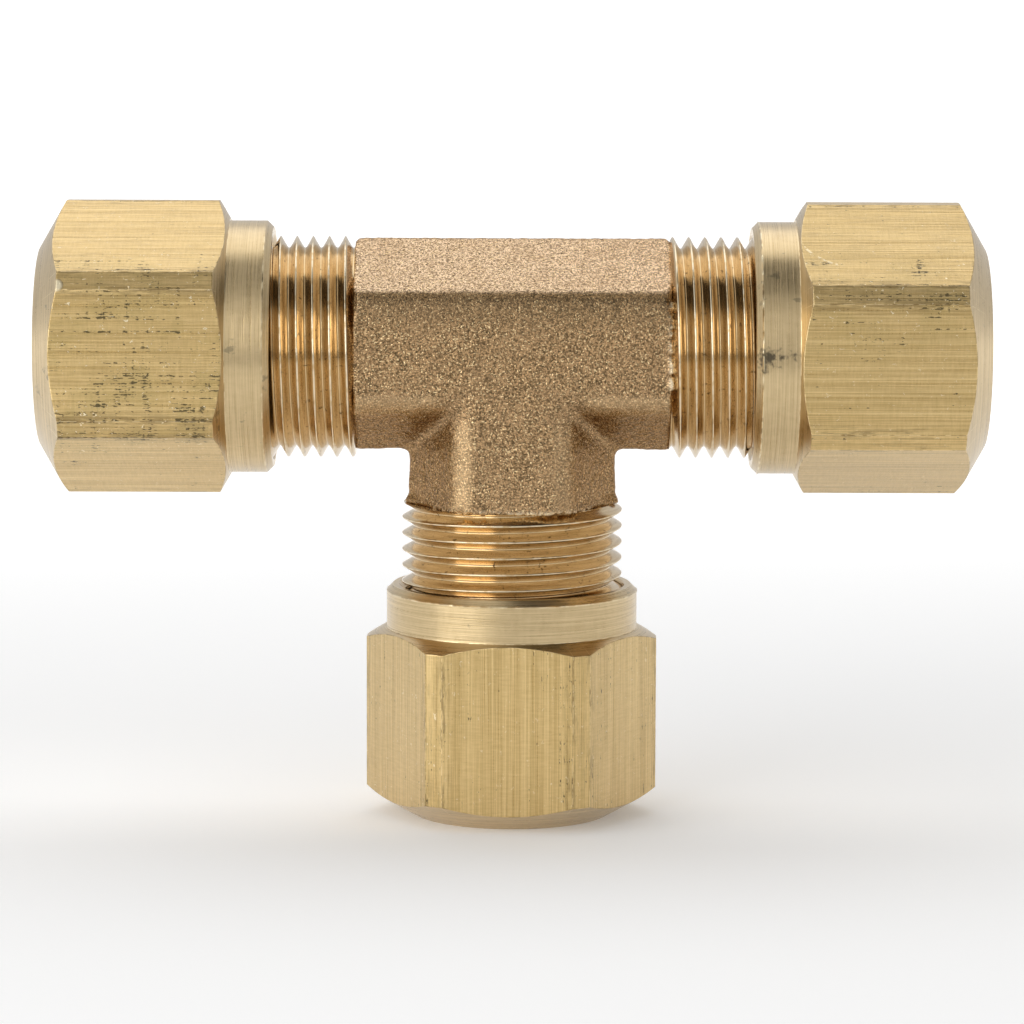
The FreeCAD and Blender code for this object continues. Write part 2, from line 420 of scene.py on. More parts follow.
def hex_outline(turn):
    """Angles, radii and corner marks round the nut's hexagon."""
    normals = []
    for k in range(SIDES):
        distance = FLAT_R if k % 2 == 0 else CORNER_FLAT_R
        normals.append((math.radians(turn + SIDE_TURN * k), distance - HEX_EDGE_R))
    corners = []
    for k in range(SIDES):
        a, a_distance = normals[k]
        b, b_distance = normals[(k + 1) % SIDES]
        matrix = np.array([[math.cos(a), math.sin(a)], [math.cos(b), math.sin(b)]])
        corners.append((np.linalg.solve(matrix, [a_distance, b_distance]), a))
    swing = math.radians(SIDE_TURN)
    points = []
    marks = []
    for k in range(SIDES):
        centre, a = corners[k]
        marks += [0, 1, 0]
        for step in range(3):
            angle = a + swing * step / 2
            points.append(centre + HEX_EDGE_R * np.array([math.cos(angle), math.sin(angle)]))
        next_centre, _next_a = corners[(k + 1) % SIDES]
        start = points[-1]
        end = next_centre + HEX_EDGE_R * np.array([math.cos(a + swing), math.sin(a + swing)])
        guard = (end - start) / np.linalg.norm(end - start) * GUARD
        points.append(start + guard)
        step_count = FLAT_STEPS if k % 2 == 1 else CORNER_FLAT_STEPS
        for step in range(1, step_count):
            points.append(start + (end - start) * step / step_count)
        points.append(end - guard)
        marks += [0] * (step_count + 1)
    points = np.array(points)
    angles = np.unwrap(np.arctan2(points[:, 1], points[:, 0]))
    radii = np.hypot(points[:, 0], points[:, 1])
    angles = np.append(angles, angles[0] + 2 * math.pi)
    return angles, np.append(radii, radii[0]), np.append(marks, marks[0])


def nut_corners(hex_r):
    """The nut's outline at one angle, from the sleeve room out and back."""
    out_s = NUT_OUT_S - (hex_r - OUT_CHAMFER_R) * HEX_SLOPE
    in_s = COLLAR_END_S + (hex_r - IN_CHAMFER_R) * HEX_SLOPE
    cone_s = LAND_S - (SLEEVE_ROOM_R - MOUTH_R) / HEX_SLOPE
    inside = [
        (THREAD_MOUTH_R, RELIEF_S, 0),
        (THREAD_MOUTH_R, RELIEF_END_S, 0.1),
        (SLEEVE_ROOM_R, RELIEF_END_S, 0.06),
        (SLEEVE_ROOM_R, cone_s, 0.3),
        (MOUTH_R, LAND_S, 0.15),
        (MOUTH_R, NUT_OUT_S - MOUTH_CHAMFER, 0),
    ]
    chamfer = [
        (MOUTH_R + MOUTH_CHAMFER, NUT_OUT_S, 0.05),
        (OUT_CHAMFER_R, NUT_OUT_S, 0.25),
        (hex_r, out_s, 0.07),
    ]
    flats = []
    for step in range(1, HEX_LENGTH_STEPS):
        flats.append((hex_r, out_s + (in_s - out_s) * step / HEX_LENGTH_STEPS, 0))
    collar = [
        (hex_r, in_s, 0.07),
        (IN_CHAMFER_R, COLLAR_END_S, 0.08),
        (COLLAR_R, COLLAR_END_S, 0.06),
        (COLLAR_R, NUT_IN_S + COLLAR_CHAMFER, COLLAR_EDGE_R),
        (COLLAR_R - COLLAR_CHAMFER, NUT_IN_S, 0.08),
        (THREAD_MOUTH_R, NUT_IN_S, 0),
    ]
    return inside + chamfer + flats + collar


def add_nut(leg, materials):
    """One hexagon nut with its collar and inside thread.

    Slot 0 is the metal of its flats, slot 1 that of its chamfers, collar and
    bore, and slot 2 its thread's.
    """
    _out, _side, thread_turn, hex_turn, _offset = LEGS[leg]
    angles, hex_r, corner_marks = hex_outline(hex_turn - thread_turn)
    profiles = np.array([rounded(nut_corners(r), 2, GUARD) for r in hex_r])
    outer_r = profiles[:, :, 0].T.copy()
    outer_s = profiles[:, :, 1].T
    edge_marks = rounding_marks(nut_corners(FLAT_R), 2)
    rim = np.abs(outer_s[:, 0] - NUT_IN_S - COLLAR_CHAMFER) < COLLAR_EDGE_R
    rim = rim & (edge_marks == 1)
    round_rim = [(9 * math.cos(a), 9 * math.sin(a), hex_turn) for a in angles]
    ragged = np.array([fractal(point, 1.7, 3) for point in round_rim])
    outer_r[rim] += RIM_BURR[leg] * np.clip(ragged + 0.2, 0, 1)
    thread_s = thread_rows(FEMALE_THREAD, angles, NUT_IN_S, RELIEF_S)
    around = np.broadcast_to(angles, thread_s.shape)
    thread_r = thread_radius(FEMALE_THREAD, around, thread_s)
    thread_r = np.maximum(thread_r, THREAD_MOUTH_R - (thread_s - NUT_IN_S))
    radii = np.vstack([outer_r, thread_r])
    heights = np.vstack([outer_s, thread_s])
    # The rings of the hexagon change their radius, and the round ones don't.
    flat_rows = np.ptp(outer_r, axis=1) > 0.5
    slots = [0 if flat else 1 for flat in flat_rows] + [2] * len(thread_r)
    hex_rows = np.flatnonzero(flat_rows)
    for chamfer_row in hex_rows[[0, -2, -1]]:
        slots[chamfer_row] = 1
    wear = np.zeros(radii.shape)
    wear[: len(outer_r)] = np.maximum(edge_marks[:, None], flat_rows[:, None] * corner_marks)
    rim_row = np.flatnonzero(rim)[0]
    rim_wear = smooth_step(ragged + 2 * RIM_BURR[leg], -0.25, 0.15)
    wear[rim_row - 1 : rim_row + 2] = rim_wear * min(1.0, 0.4 + 3 * RIM_BURR[leg])
    obj = turned_piece(
        leg + "_hex_nut", leg, radii, np.broadcast_to(angles, radii.shape), heights, slots, wear
    )
    finish_mesh(obj, leg, materials)
    store_soil(obj, leg)
    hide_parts(leg + "_nut")
    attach(obj, leg + "_nut")


def add_ring(name, node, body, leg, points, materials):
    """A plain turned ring: a sleeve or a tube support."""
    angles = np.linspace(0, 2 * math.pi, RING_STEPS + 1)
    radii, heights = rings(rounded(points), len(angles))
    around = np.broadcast_to(angles, radii.shape)
    obj = turned_piece(name, leg, radii, around, heights, [0] * len(radii))
    finish_mesh(obj, leg, materials)
    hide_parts(node)
    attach(obj, body)


# Section corners of a sleeve and of a tube support: radius, place along the
# leg and rounding.
SLEEVE = [
    (6.45, 26.10, 0.05),
    (6.70, 26.10, 0.05),
    (7.50, 29.86, 0.40),
    (7.50, 32.35, 0.30),
    (6.75, 33.65, 0.05),
    (6.45, 33.65, 0.05),
]
SUPPORT = [
    (4.15, 13.00, 0.10),
    (6.40, 13.00, 0.05),
    (6.40, 13.90, 0.20),
    (4.67, 13.90, 0.15),
    (4.67, 28.90, 0.30),
    (4.37, 29.50, 0.08),
    (4.15, 29.50, 0.05),
]


# ---------------------------------------------------------------- forging

# Where a face bends down to its arris: (across from the face's end, drop).
FACE_BEND = ((-0.30, 0.18), (-1.80, 0.0))

# The grid that the forging is remeshed on, the rounding of the creases between
# its bars, and how high its waves, its ripples and its burrs stand.
VOXEL = 0.16
CREASE_CORE = 0.5
CREASE_REACH = 2.0
CREASE_ROUNDS = 40
WAVE = 0.030
RIPPLE = 0.035
SHOULDER_BURR = 0.20
# How far the branch's end is spread at its two outer edges.
EAR = 0.30


def bar_outline(edge, crisp):
    """A forged bar's section as (across, depth) points.

    Its long edges are rounded. If crisp is set, those on the positive side
    start with a plain arris instead, and the face bends down to it.
    """
    run = np.array([edge - BAR_FACE_HALF, BAR_DEPTH - FLASH_HALF])
    run = run / np.linalg.norm(run) * ARRIS_CUT
    bend = [(BAR_FACE_HALF + run[0], BAR_DEPTH - run[1], 0.03)]
    bend += [(BAR_FACE_HALF + a, BAR_DEPTH - d, 3.0) for a, d in FACE_BEND]
    points = [(edge, -FLASH_HALF, 0.05), (edge, FLASH_HALF, 0.05)]
    if crisp:
        points += bend
    else:
        points.append((BAR_FACE_HALF, BAR_DEPTH, BAR_FILLET))
    points += [
        (-BAR_FACE_HALF, BAR_DEPTH, BAR_FILLET),
        (-edge, FLASH_HALF, 0.05),
        (-edge, -FLASH_HALF, 0.05),
        (-BAR_FACE_HALF, -BAR_DEPTH, BAR_FILLET),
    ]
    if crisp:
        points += [(a, -d, corner) for a, d, corner in bend[::-1]]
    else:
        points.append((BAR_FACE_HALF, -BAR_DEPTH, BAR_FILLET))
    return rounded(points, 6)


def prism(name, corners, start, end):
    """A closed prism from a polygon at start swept to end."""
    bm = bmesh.new()
    low = [bm.verts.new((np.array(c) + start) * MM) for c in corners]
    high = [bm.verts.new((np.array(c) + end) * MM) for c in corners]
    count = len(corners)
    bm.faces.new(low[::-1])
    bm.faces.new(high)
    for k in range(count):
        nxt = (k + 1) % count
        bm.faces.new([low[k], low[nxt], high[nxt], high[k]])
    bmesh.ops.recalc_face_normals(bm, faces=bm.faces)
    mesh = bpy.data.meshes.new(name)
    bm.to_mesh(mesh)
    bm.free()
    return add_object(name, mesh)


def circle(radius, first, second):
    """A polygon of a circle in the plane of two directions."""
    out = []
    for k in range(TOOL_STEPS):
        a = 2 * math.pi * k / TOOL_STEPS
        out.append(radius * (math.cos(a) * np.array(first) + math.sin(a) * np.array(second)))
    return out


def end_cone(leg):
    """A solid that bounds the bars with a 45 degree bevel at a leg's end."""
    angles = np.linspace(0, 2 * math.pi, TOOL_STEPS + 1)
    points = [
        (0.01, -TOOL_REACH),
        (TOOL_REACH, -TOOL_REACH),
        (TOOL_REACH, SHOULDER_S - (TOOL_REACH - BEVEL_END_R)),
        (BEVEL_END_R, SHOULDER_S),
        (0.01, SHOULDER_S),
    ]
    radii, heights = rings(points, len(angles))
    around = np.broadcast_to(angles, radii.shape)
    return turned_piece("end_cone", leg, radii, around, heights, [0] * len(points))


def apply_modifiers(obj):
    """Replaces the object's mesh with its modified one."""
    depsgraph = bpy.context.evaluated_depsgraph_get()
    mesh = bpy.data.meshes.new_from_object(obj.evaluated_get(depsgraph))
    obj.modifiers.clear()
    obj.data = mesh


def combine(obj, other, operation):
    """Boolean of two objects, kept in the first. The other is removed."""
    step = obj.modifiers.new("combine", "BOOLEAN")
    step.operation = operation
    step.solver = "EXACT"
    step.object = other
    apply_modifiers(obj)
    bpy.data.objects.remove(other)


def relax(co, edges, weight, rounds):
    """Smooths vertices towards their neighbours' mean, by their weight."""
    count = np.bincount(edges.ravel(), minlength=len(co))[:, None]
    for _round in range(rounds):
        total = np.zeros_like(co)
        np.add.at(total, edges[:, 0], co[edges[:, 1]])
        np.add.at(total, edges[:, 1], co[edges[:, 0]])
        co = co + (total / count - co) * weight[:, None] * 0.5
    return co


def blank_mesh():
    """The forged bars in one, with the passages through them."""
    run = prism("forging", [(0, d, a) for a, d in bar_outline(RUN_EDGE, True)],
                CROSS + [-SHOULDER_S, 0, RUN_RISE], CROSS + [SHOULDER_S, 0, RUN_RISE])
    branch = prism("branch_bar", [(a, d, 0) for a, d in bar_outline(BRANCH_EDGE, False)],
                   CROSS, CROSS + [0, 0, -SHOULDER_S])
    combine(run, branch, "UNION")
    for leg in LEGS:
        combine(run, end_cone(leg), "INTERSECT")
    long_way = prism("long_way", circle(PASSAGE_R, (0, 1, 0), (0, 0, 1)),
                     CROSS + [-TOOL_REACH, 0, 0], CROSS + [TOOL_REACH, 0, 0])
    combine(run, long_way, "DIFFERENCE")
    down_way = prism("down_way", circle(PASSAGE_R, (1, 0, 0), (0, 1, 0)),
                     CROSS + [0, 0, -TOOL_REACH], CROSS)
    combine(run, down_way, "DIFFERENCE")
    return run


def move_vertices(mesh, co):
    """Puts the mesh's vertices at places given in millimetres from the crossing."""
    mesh.vertices.foreach_set("co", ((co + CROSS) * MM).ravel())
    mesh.update()


def crease_weight(co):
    """1 along the creases between the two bars, and 0 away from them."""
    x, y, z = co.T
    crease = np.abs(np.abs(x) + z) / math.sqrt(2)
    weight = 1 - smooth_step(crease, CREASE_CORE, CREASE_REACH)
    weight = weight * (np.hypot(y, np.minimum(np.abs(x), -z)) > 6.2)
    return weight * (np.abs(x) > 3.2) * (z < -3.2)


def skin_weight(co):
    """1 on the forging's outer skin, and 0 on the walls of its passages."""
    x, y, z = co.T
    radius = np.where(z > -5.3, np.hypot(y, z), np.minimum(np.hypot(y, z), np.hypot(x, y)))
    return smooth_step(radius, PASSAGE_R + 0.3, PASSAGE_R + 0.8)


def burr_weight(co):
    """1 on the ragged burrs in front, at the right end and the branch's end."""
    x, y, z = co.T
    jagged = np.array([fractal(p, 2.4, 3) for p in co])
    right_burr = smooth_step(x, 12.0, 12.3) * (np.abs(z - 0.8) < 3.4) * (y < -5.5)
    low_burr = smooth_step(-z, 11.9, 12.25) * (y < -4.0)
    return np.maximum(right_burr, 0.5 * low_burr) * smooth_step(jagged, -0.25, 0.25)


def add_forging(materials):
    """The sandblasted part of the body, with an uneven forged surface."""
    obj = blank_mesh()
    step = obj.modifiers.new("even", "REMESH")
    step.mode = "VOXEL"
    step.voxel_size = VOXEL * MM
    apply_modifiers(obj)
    mesh = obj.data
    edges = np.zeros(len(mesh.edges) * 2, int)
    mesh.edges.foreach_get("vertices", edges)
    edges = edges.reshape(-1, 2)
    even = relax(from_cross(mesh), edges, np.ones(len(mesh.vertices)), 2)
    co = relax(even, edges, crease_weight(even), CREASE_ROUNDS)
    move_vertices(mesh, co)
    normal = vertex_vectors(mesh, "normal")
    skin = skin_weight(even)
    burr = burr_weight(co)
    lift = np.array([WAVE * fractal(p, 0.9, 3) + RIPPLE * fractal(p, 3.2, 2) for p in co])
    across, _depth, up = co.T
    co = co + normal * ((lift + SHOULDER_BURR * burr) * skin)[:, None]
    ear = smooth_step(-up, 11.4, 12.3) * smooth_step(np.abs(across), 6.6, 7.8)
    co[:, 0] += np.sign(across) * ear * EAR
    move_vertices(mesh, co)
    # The burrs are kept as wear; their bright colour is partly a painted highlight.
    store_number(mesh, "wear", burr * skin)
    for item in materials:
        mesh.materials.append(item)
    mesh.polygons.foreach_set("use_smooth", [True] * len(mesh.polygons))
    store_leg_co(obj, np.eye(3), 0.0)
    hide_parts("tee_body")
    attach(obj, "tee")


# ---------------------------------------------------------------- materials

# Colours as linear red, green, blue and opacity.
DRAWN_LOW = (0.51, 0.345, 0.125, 1)
DRAWN_HIGH = (0.78, 0.57, 0.26, 1)
OLIVE = (0.42, 0.32, 0.11, 1)
SPECK = (0.075, 0.060, 0.026, 1)
CAUGHT_DIRT = (0.19, 0.125, 0.045, 1)
# Nicks, a ding and a scratch: real marks, painted pale as their highlight.
NICK_HIGHLIGHT = (0.98, 0.85, 0.58, 1)
EDGE_DULL = (0.26, 0.165, 0.06, 1)
EDGE_BRIGHT = (0.93, 0.74, 0.42, 1)
TURNED_LOW = (0.52, 0.385, 0.195, 1)
TURNED_HIGH = (0.71, 0.545, 0.305, 1)
SMUDGE = (0.13, 0.11, 0.065, 1)
OIL = (0.05, 0.04, 0.025, 1)
RUBBED_RIM = (0.97, 0.83, 0.55, 1)
THREAD_LOW = (0.60, 0.445, 0.25, 1)
THREAD_HIGH = (0.74, 0.57, 0.35, 1)
THREAD_SPOT = (0.24, 0.16, 0.08, 1)
CREST = (0.97, 0.88, 0.70, 1)
GRAIN_LOW = (0.16, 0.097, 0.042, 1)
GRAIN_HIGH = (0.49, 0.308, 0.15, 1)
# Painted light: the forging's top slope, paler and brighter as if lit from above.
TOP_LIT_LOW = (0.36, 0.25, 0.15, 1)
TOP_LIT_HIGH = (0.92, 0.68, 0.45, 1)
# Painted glints on the forging's grains.
PAINTED_GLINT = (1.0, 0.76, 0.42, 1)
PIT = (0.075, 0.046, 0.018, 1)
BROAD_STAIN = (0.42, 0.26, 0.13, 1)
# Painted highlight along the forging's fillets.
FILLET_HIGHLIGHT = (0.85, 0.60, 0.32, 1)
SHADE = (0.11, 0.075, 0.035, 1)
# Burrs: real burrs, painted brighter than their metal as a highlight.
BURR_HIGHLIGHT = (1.0, 0.84, 0.58, 1)
BLASTED_TINT = (0.62, 0.46, 0.32, 1)
WHITE = (1, 1, 1, 1)

# Single marks, from where the legs cross: a ding in the left nut's end, a curved scratch and its
# middle on the right nut, and oil on the right nut's collar. The ding and the scratch are painted
# pale, as their highlight.
DING = (-34.95, -10.0, 5.6)
SCRATCH_CENTRE = (27.0, -3.67, 9.53)
SCRATCH_R = 5.16
SCRATCH_MIDDLE = (23.6, -6.3, 7.7)
OIL_SPOT = (19.3, -9.9, 0.0)
OIL_SMEAR = (21.3, -9.9, 0.3)


def feed(tree, socket, value):
    """Links an output to a socket, or sets the socket's value."""
    if isinstance(value, bpy.types.NodeSocket):
        tree.links.new(value, socket)
    else:
        socket.default_value = value


def math_node(tree, operation, *values):
    """A math node's output."""
    node = tree.nodes.new("ShaderNodeMath")
    node.operation = operation
    for socket, value in zip(node.inputs, values):
        feed(tree, socket, value)
    return node.outputs[0]


def ramp(tree, value, low, high, start, end):
    """A node output that eases from start to end as value goes low to high."""
    node = tree.nodes.new("ShaderNodeMapRange")
    node.interpolation_type = "SMOOTHSTEP"
    numbers = {"Value": value, "From Min": low, "From Max": high, "To Min": start, "To Max": end}
    for name, number in numbers.items():
        feed(tree, node.inputs[name], number)
    return node.outputs[0]


class Graph:
    """Short ways to add shader nodes to one material."""

    def __init__(self, name):
        self.material = bpy.data.materials.new(name)
        self.material.use_nodes = True
        self.tree = self.material.node_tree
        self.shader = self.tree.nodes["Principled BSDF"]
        self.place = self.tree.nodes.new("ShaderNodeAttribute")
        self.place.attribute_name = "leg_co"

    def feed(self, socket, value):
        """Links an output to a socket, or sets the socket's value."""
        feed(self.tree, socket, value)

    def math(self, operation, a, b=0.0, c=0.0):
        """A math node's output."""
        return math_node(self.tree, operation, a, b, c)

    def value(self, name):
        """A number kept on the mesh."""
        node = self.tree.nodes.new("ShaderNodeAttribute")
        node.attribute_name = name
        return node.outputs["Fac"]

    def blend(self, terms):
        """The sum of each value times its weight."""
        total = 0.0
        for value, weight in terms:
            total = self.math("MULTIPLY_ADD", value, weight, total)
        return total

    def stretched(self, across, along):
        """The piece's own coordinates, scaled across and along its axis."""
        node = self.tree.nodes.new("ShaderNodeVectorMath")
        node.operation = "MULTIPLY"
        self.feed(node.inputs[0], self.place.outputs["Vector"])
        node.inputs[1].default_value = (across, across, along)
        return node.outputs[0]

    def noise(self, vector, detail=2.0, rough=0.5, distortion=0.0):
        """Layered noise between 0 and 1 at the given coordinates."""
        node = self.tree.nodes.new("ShaderNodeTexNoise")
        self.feed(node.inputs["Vector"], vector)
        node.inputs["Scale"].default_value = 1.0
        node.inputs["Detail"].default_value = detail
        node.inputs["Roughness"].default_value = rough
        node.inputs["Distortion"].default_value = distortion
        return node.outputs[0]

    def ease(self, value, low, high):
        """0 at low and 1 at high, eased between; low may be the larger."""
        if low < high:
            return ramp(self.tree, value, low, high, 0.0, 1.0)
        return ramp(self.tree, value, high, low, 1.0, 0.0)

    def mix(self, factor, a, b):
        """The colour a where the factor is 0, and b where it is 1."""
        node = self.tree.nodes.new("ShaderNodeMix")
        node.data_type = "RGBA"
        self.feed(node.inputs[0], factor)
        self.feed(node.inputs[6], a)
        self.feed(node.inputs[7], b)
        return node.outputs[2]

    def distance(self, leg, point):
        """How far a place on a leg is from a point given from the crossing."""
        node = self.tree.nodes.new("ShaderNodeVectorMath")
        node.operation = "DISTANCE"
        self.feed(node.inputs[0], self.place.outputs["Vector"])
        node.inputs[1].default_value = leg_axes(leg) @ np.array(point) + LEGS[leg][4]
        return node.outputs["Value"]

    def bump(self, height, strength, distance_mm):
        """The surface's direction, roughened by a height."""
        node = self.tree.nodes.new("ShaderNodeBump")
        self.feed(node.inputs["Height"], height)
        node.inputs["Strength"].default_value = strength
        node.inputs["Distance"].default_value = distance_mm * MM
        return node.outputs[0]

    def metal(self, color, roughness, normal, coat=0.5):
        """Fills in the shader, and gives the finished material."""
        self.feed(self.shader.inputs["Base Color"], color)
        self.shader.inputs["Metallic"].default_value = 1.0
        self.shader.inputs["Coat Weight"].default_value = coat
        self.shader.inputs["Coat Roughness"].default_value = 0.3
        self.feed(self.shader.inputs["Roughness"], roughness)
        self.feed(self.shader.inputs["Normal"], normal)
        return self.material


def drawn_brass():
    """Hexagon bar: lines along the axis, dark specks, dirt, and nicks and a scratch painted pale
    as their highlights.
    """
    g = Graph("drawn_brass")
    soil = g.value("soil")
    wear = g.value("wear")
    bands = g.noise(g.stretched(1.4, 0.03), detail=2.0)
    lines = g.noise(g.stretched(9.0, 0.045), detail=3.0, rough=0.7)
    hairs = g.noise(g.stretched(24.0, 0.3), detail=2.0)
    chatter = g.noise(g.stretched(0.9, 6.0), detail=3.0, rough=0.7)
    patches = g.noise(g.stretched(0.42, 0.30), detail=2.0)
    tone = g.blend([(bands, 0.15), (lines, 0.55), (hairs, 0.15), (chatter, 0.15)])
    color = g.mix(g.ease(tone, 0.38, 0.62), DRAWN_LOW, DRAWN_HIGH)
    olive = g.math("MULTIPLY", g.ease(patches, 0.45, 0.62), soil)
    color = g.mix(g.math("MULTIPLY", olive, 0.30), color, OLIVE)
    rows = g.noise(g.stretched(5.5, 0.10), detail=2.0)
    columns = g.noise(g.stretched(0.25, 2.8), detail=2.0)
    dashes = g.noise(g.stretched(7.5, 2.6), detail=2.0, rough=0.6)
    grime = g.blend([(rows, 1.0), (columns, 0.6), (dashes, 1.0), (patches, 0.7), (soil, 0.25)])
    specks = g.ease(grime, 2.02, 2.15)
    color = g.mix(g.math("MULTIPLY", specks, 0.9), color, SPECK)
    caught = g.noise(g.stretched(3.2, 0.40), detail=4.0, rough=0.7)
    caught = g.ease(g.math("MULTIPLY_ADD", soil, 0.12, caught), 0.50, 0.66)
    caught = g.math("MULTIPLY", caught, g.value("corner"))
    color = g.mix(g.math("MULTIPLY", caught, 0.62), color, CAUGHT_DIRT)
    # Nicks, a ding and a scratch: real marks, painted pale as the highlight they catch.
    dents = g.noise(g.stretched(3.6, 2.8), detail=1.0, distortion=1.2)
    highlit_nicks = g.math("MULTIPLY", g.ease(dents, 0.71, 0.74), g.math("MULTIPLY_ADD", soil, 0.7, 0.3))
    dinged = g.ease(g.distance("left", DING), 0.60, 0.35)
    from_arc = g.math("SUBTRACT", g.distance("right", SCRATCH_CENTRE), SCRATCH_R)
    scratch = g.ease(g.math("ABSOLUTE", from_arc), 0.15, 0.03)
    scratch_end = g.ease(g.distance("right", SCRATCH_MIDDLE), 2.7, 1.9)
    scraped = g.ease(g.noise(g.stretched(2.4, 2.4)), 0.44, 0.54)
    scraped = g.math("MULTIPLY", scraped, g.math("MULTIPLY", scratch_end, 0.6))
    scratch = g.math("MULTIPLY", scratch, scraped)
    highlit_nicks = g.math("MAXIMUM", highlit_nicks, g.math("MAXIMUM", scratch, dinged))
    color = g.mix(highlit_nicks, color, NICK_HIGHLIGHT)
    broken = g.ease(g.noise(g.stretched(1.2, 1.6), detail=3.0), 0.42, 0.56)
    edge_color = g.mix(broken, EDGE_DULL, EDGE_BRIGHT)
    color = g.mix(g.math("MULTIPLY", wear, 0.8), color, edge_color)
    rough = g.math("MULTIPLY_ADD", tone, 0.24, 0.18)
    rough = g.math("MULTIPLY_ADD", specks, 0.25, rough)
    height = g.blend([(lines, 0.7), (hairs, 0.25), (chatter, 0.2), (specks, -0.35), (highlit_nicks, 0.6)])
    normal = g.bump(height, 0.7, 0.06)
    return g.metal(color, rough, normal)


def turned_brass():
    """Turned collar, chamfers and bores: fine rings, smudges and a spot of oil."""
    g = Graph("turned_brass")
    wear = g.value("wear")
    ringed = g.noise(g.stretched(0.10, 11.0), detail=3.0, rough=0.7)
    fine = g.noise(g.stretched(0.15, 26.0), detail=1.0)
    rub = g.noise(g.stretched(1.8, 0.8), detail=4.0, rough=0.65)
    patch = g.noise(g.stretched(0.5, 0.5), detail=2.0)
    tone = g.blend([(ringed, 0.6), (fine, 0.25), (rub, 0.15)])
    color = g.mix(g.ease(tone, 0.38, 0.62), TURNED_LOW, TURNED_HIGH)
    grime = g.blend([(rub, 0.5), (patch, 0.45), (g.value("soil"), 0.07)])
    smudge = g.ease(grime, 0.61, 0.67)
    color = g.mix(g.math("MULTIPLY", smudge, 0.5), color, SMUDGE)
    oily = g.ease(g.distance("right", OIL_SPOT), 2.0, 0.0)
    smear = g.ease(g.distance("right", OIL_SMEAR), 2.0, 0.0)
    oily = g.blend([(oily, 0.42), (smear, 0.26), (g.noise(g.stretched(2.4, 2.4)), 0.6)])
    oily = g.math("MULTIPLY", g.ease(oily, 0.52, 0.72), 0.85)
    color = g.mix(oily, color, OIL)
    broken = g.ease(g.noise(g.stretched(1.3, 1.3), detail=3.0), 0.40, 0.54)
    color = g.mix(g.math("MULTIPLY", wear, broken), color, RUBBED_RIM)
    rough = g.math("MULTIPLY_ADD", tone, 0.25, 0.17)
    height = g.blend([(ringed, 0.7), (fine, 0.2), (rub, 0.1)])
    normal = g.bump(height, 0.6, 0.04)
    return g.metal(color, rough, normal)


def cut_thread():
    """Bright machined thread, scuffed along its crests."""
    g = Graph("cut_thread")
    ringed = g.noise(g.stretched(0.30, 9.0), detail=3.0, rough=0.65)
    spots = g.noise(g.stretched(2.6, 2.6), detail=3.0)
    scuffs = g.noise(g.stretched(1.6, 2.4), detail=3.0)
    color = g.mix(g.ease(ringed, 0.35, 0.65), THREAD_LOW, THREAD_HIGH)
    color = g.mix(g.ease(spots, 0.65, 0.72), color, THREAD_SPOT)
    crests = g.math("MULTIPLY", g.value("wear"), g.ease(scuffs, 0.36, 0.52))
    color = g.mix(g.math("MULTIPLY", crests, 0.85), color, CREST)
    rough = g.math("MULTIPLY_ADD", ringed, 0.12, 0.10)
    normal = g.bump(ringed, 0.3, 0.025)
    return g.metal(color, rough, normal, coat=0.0)


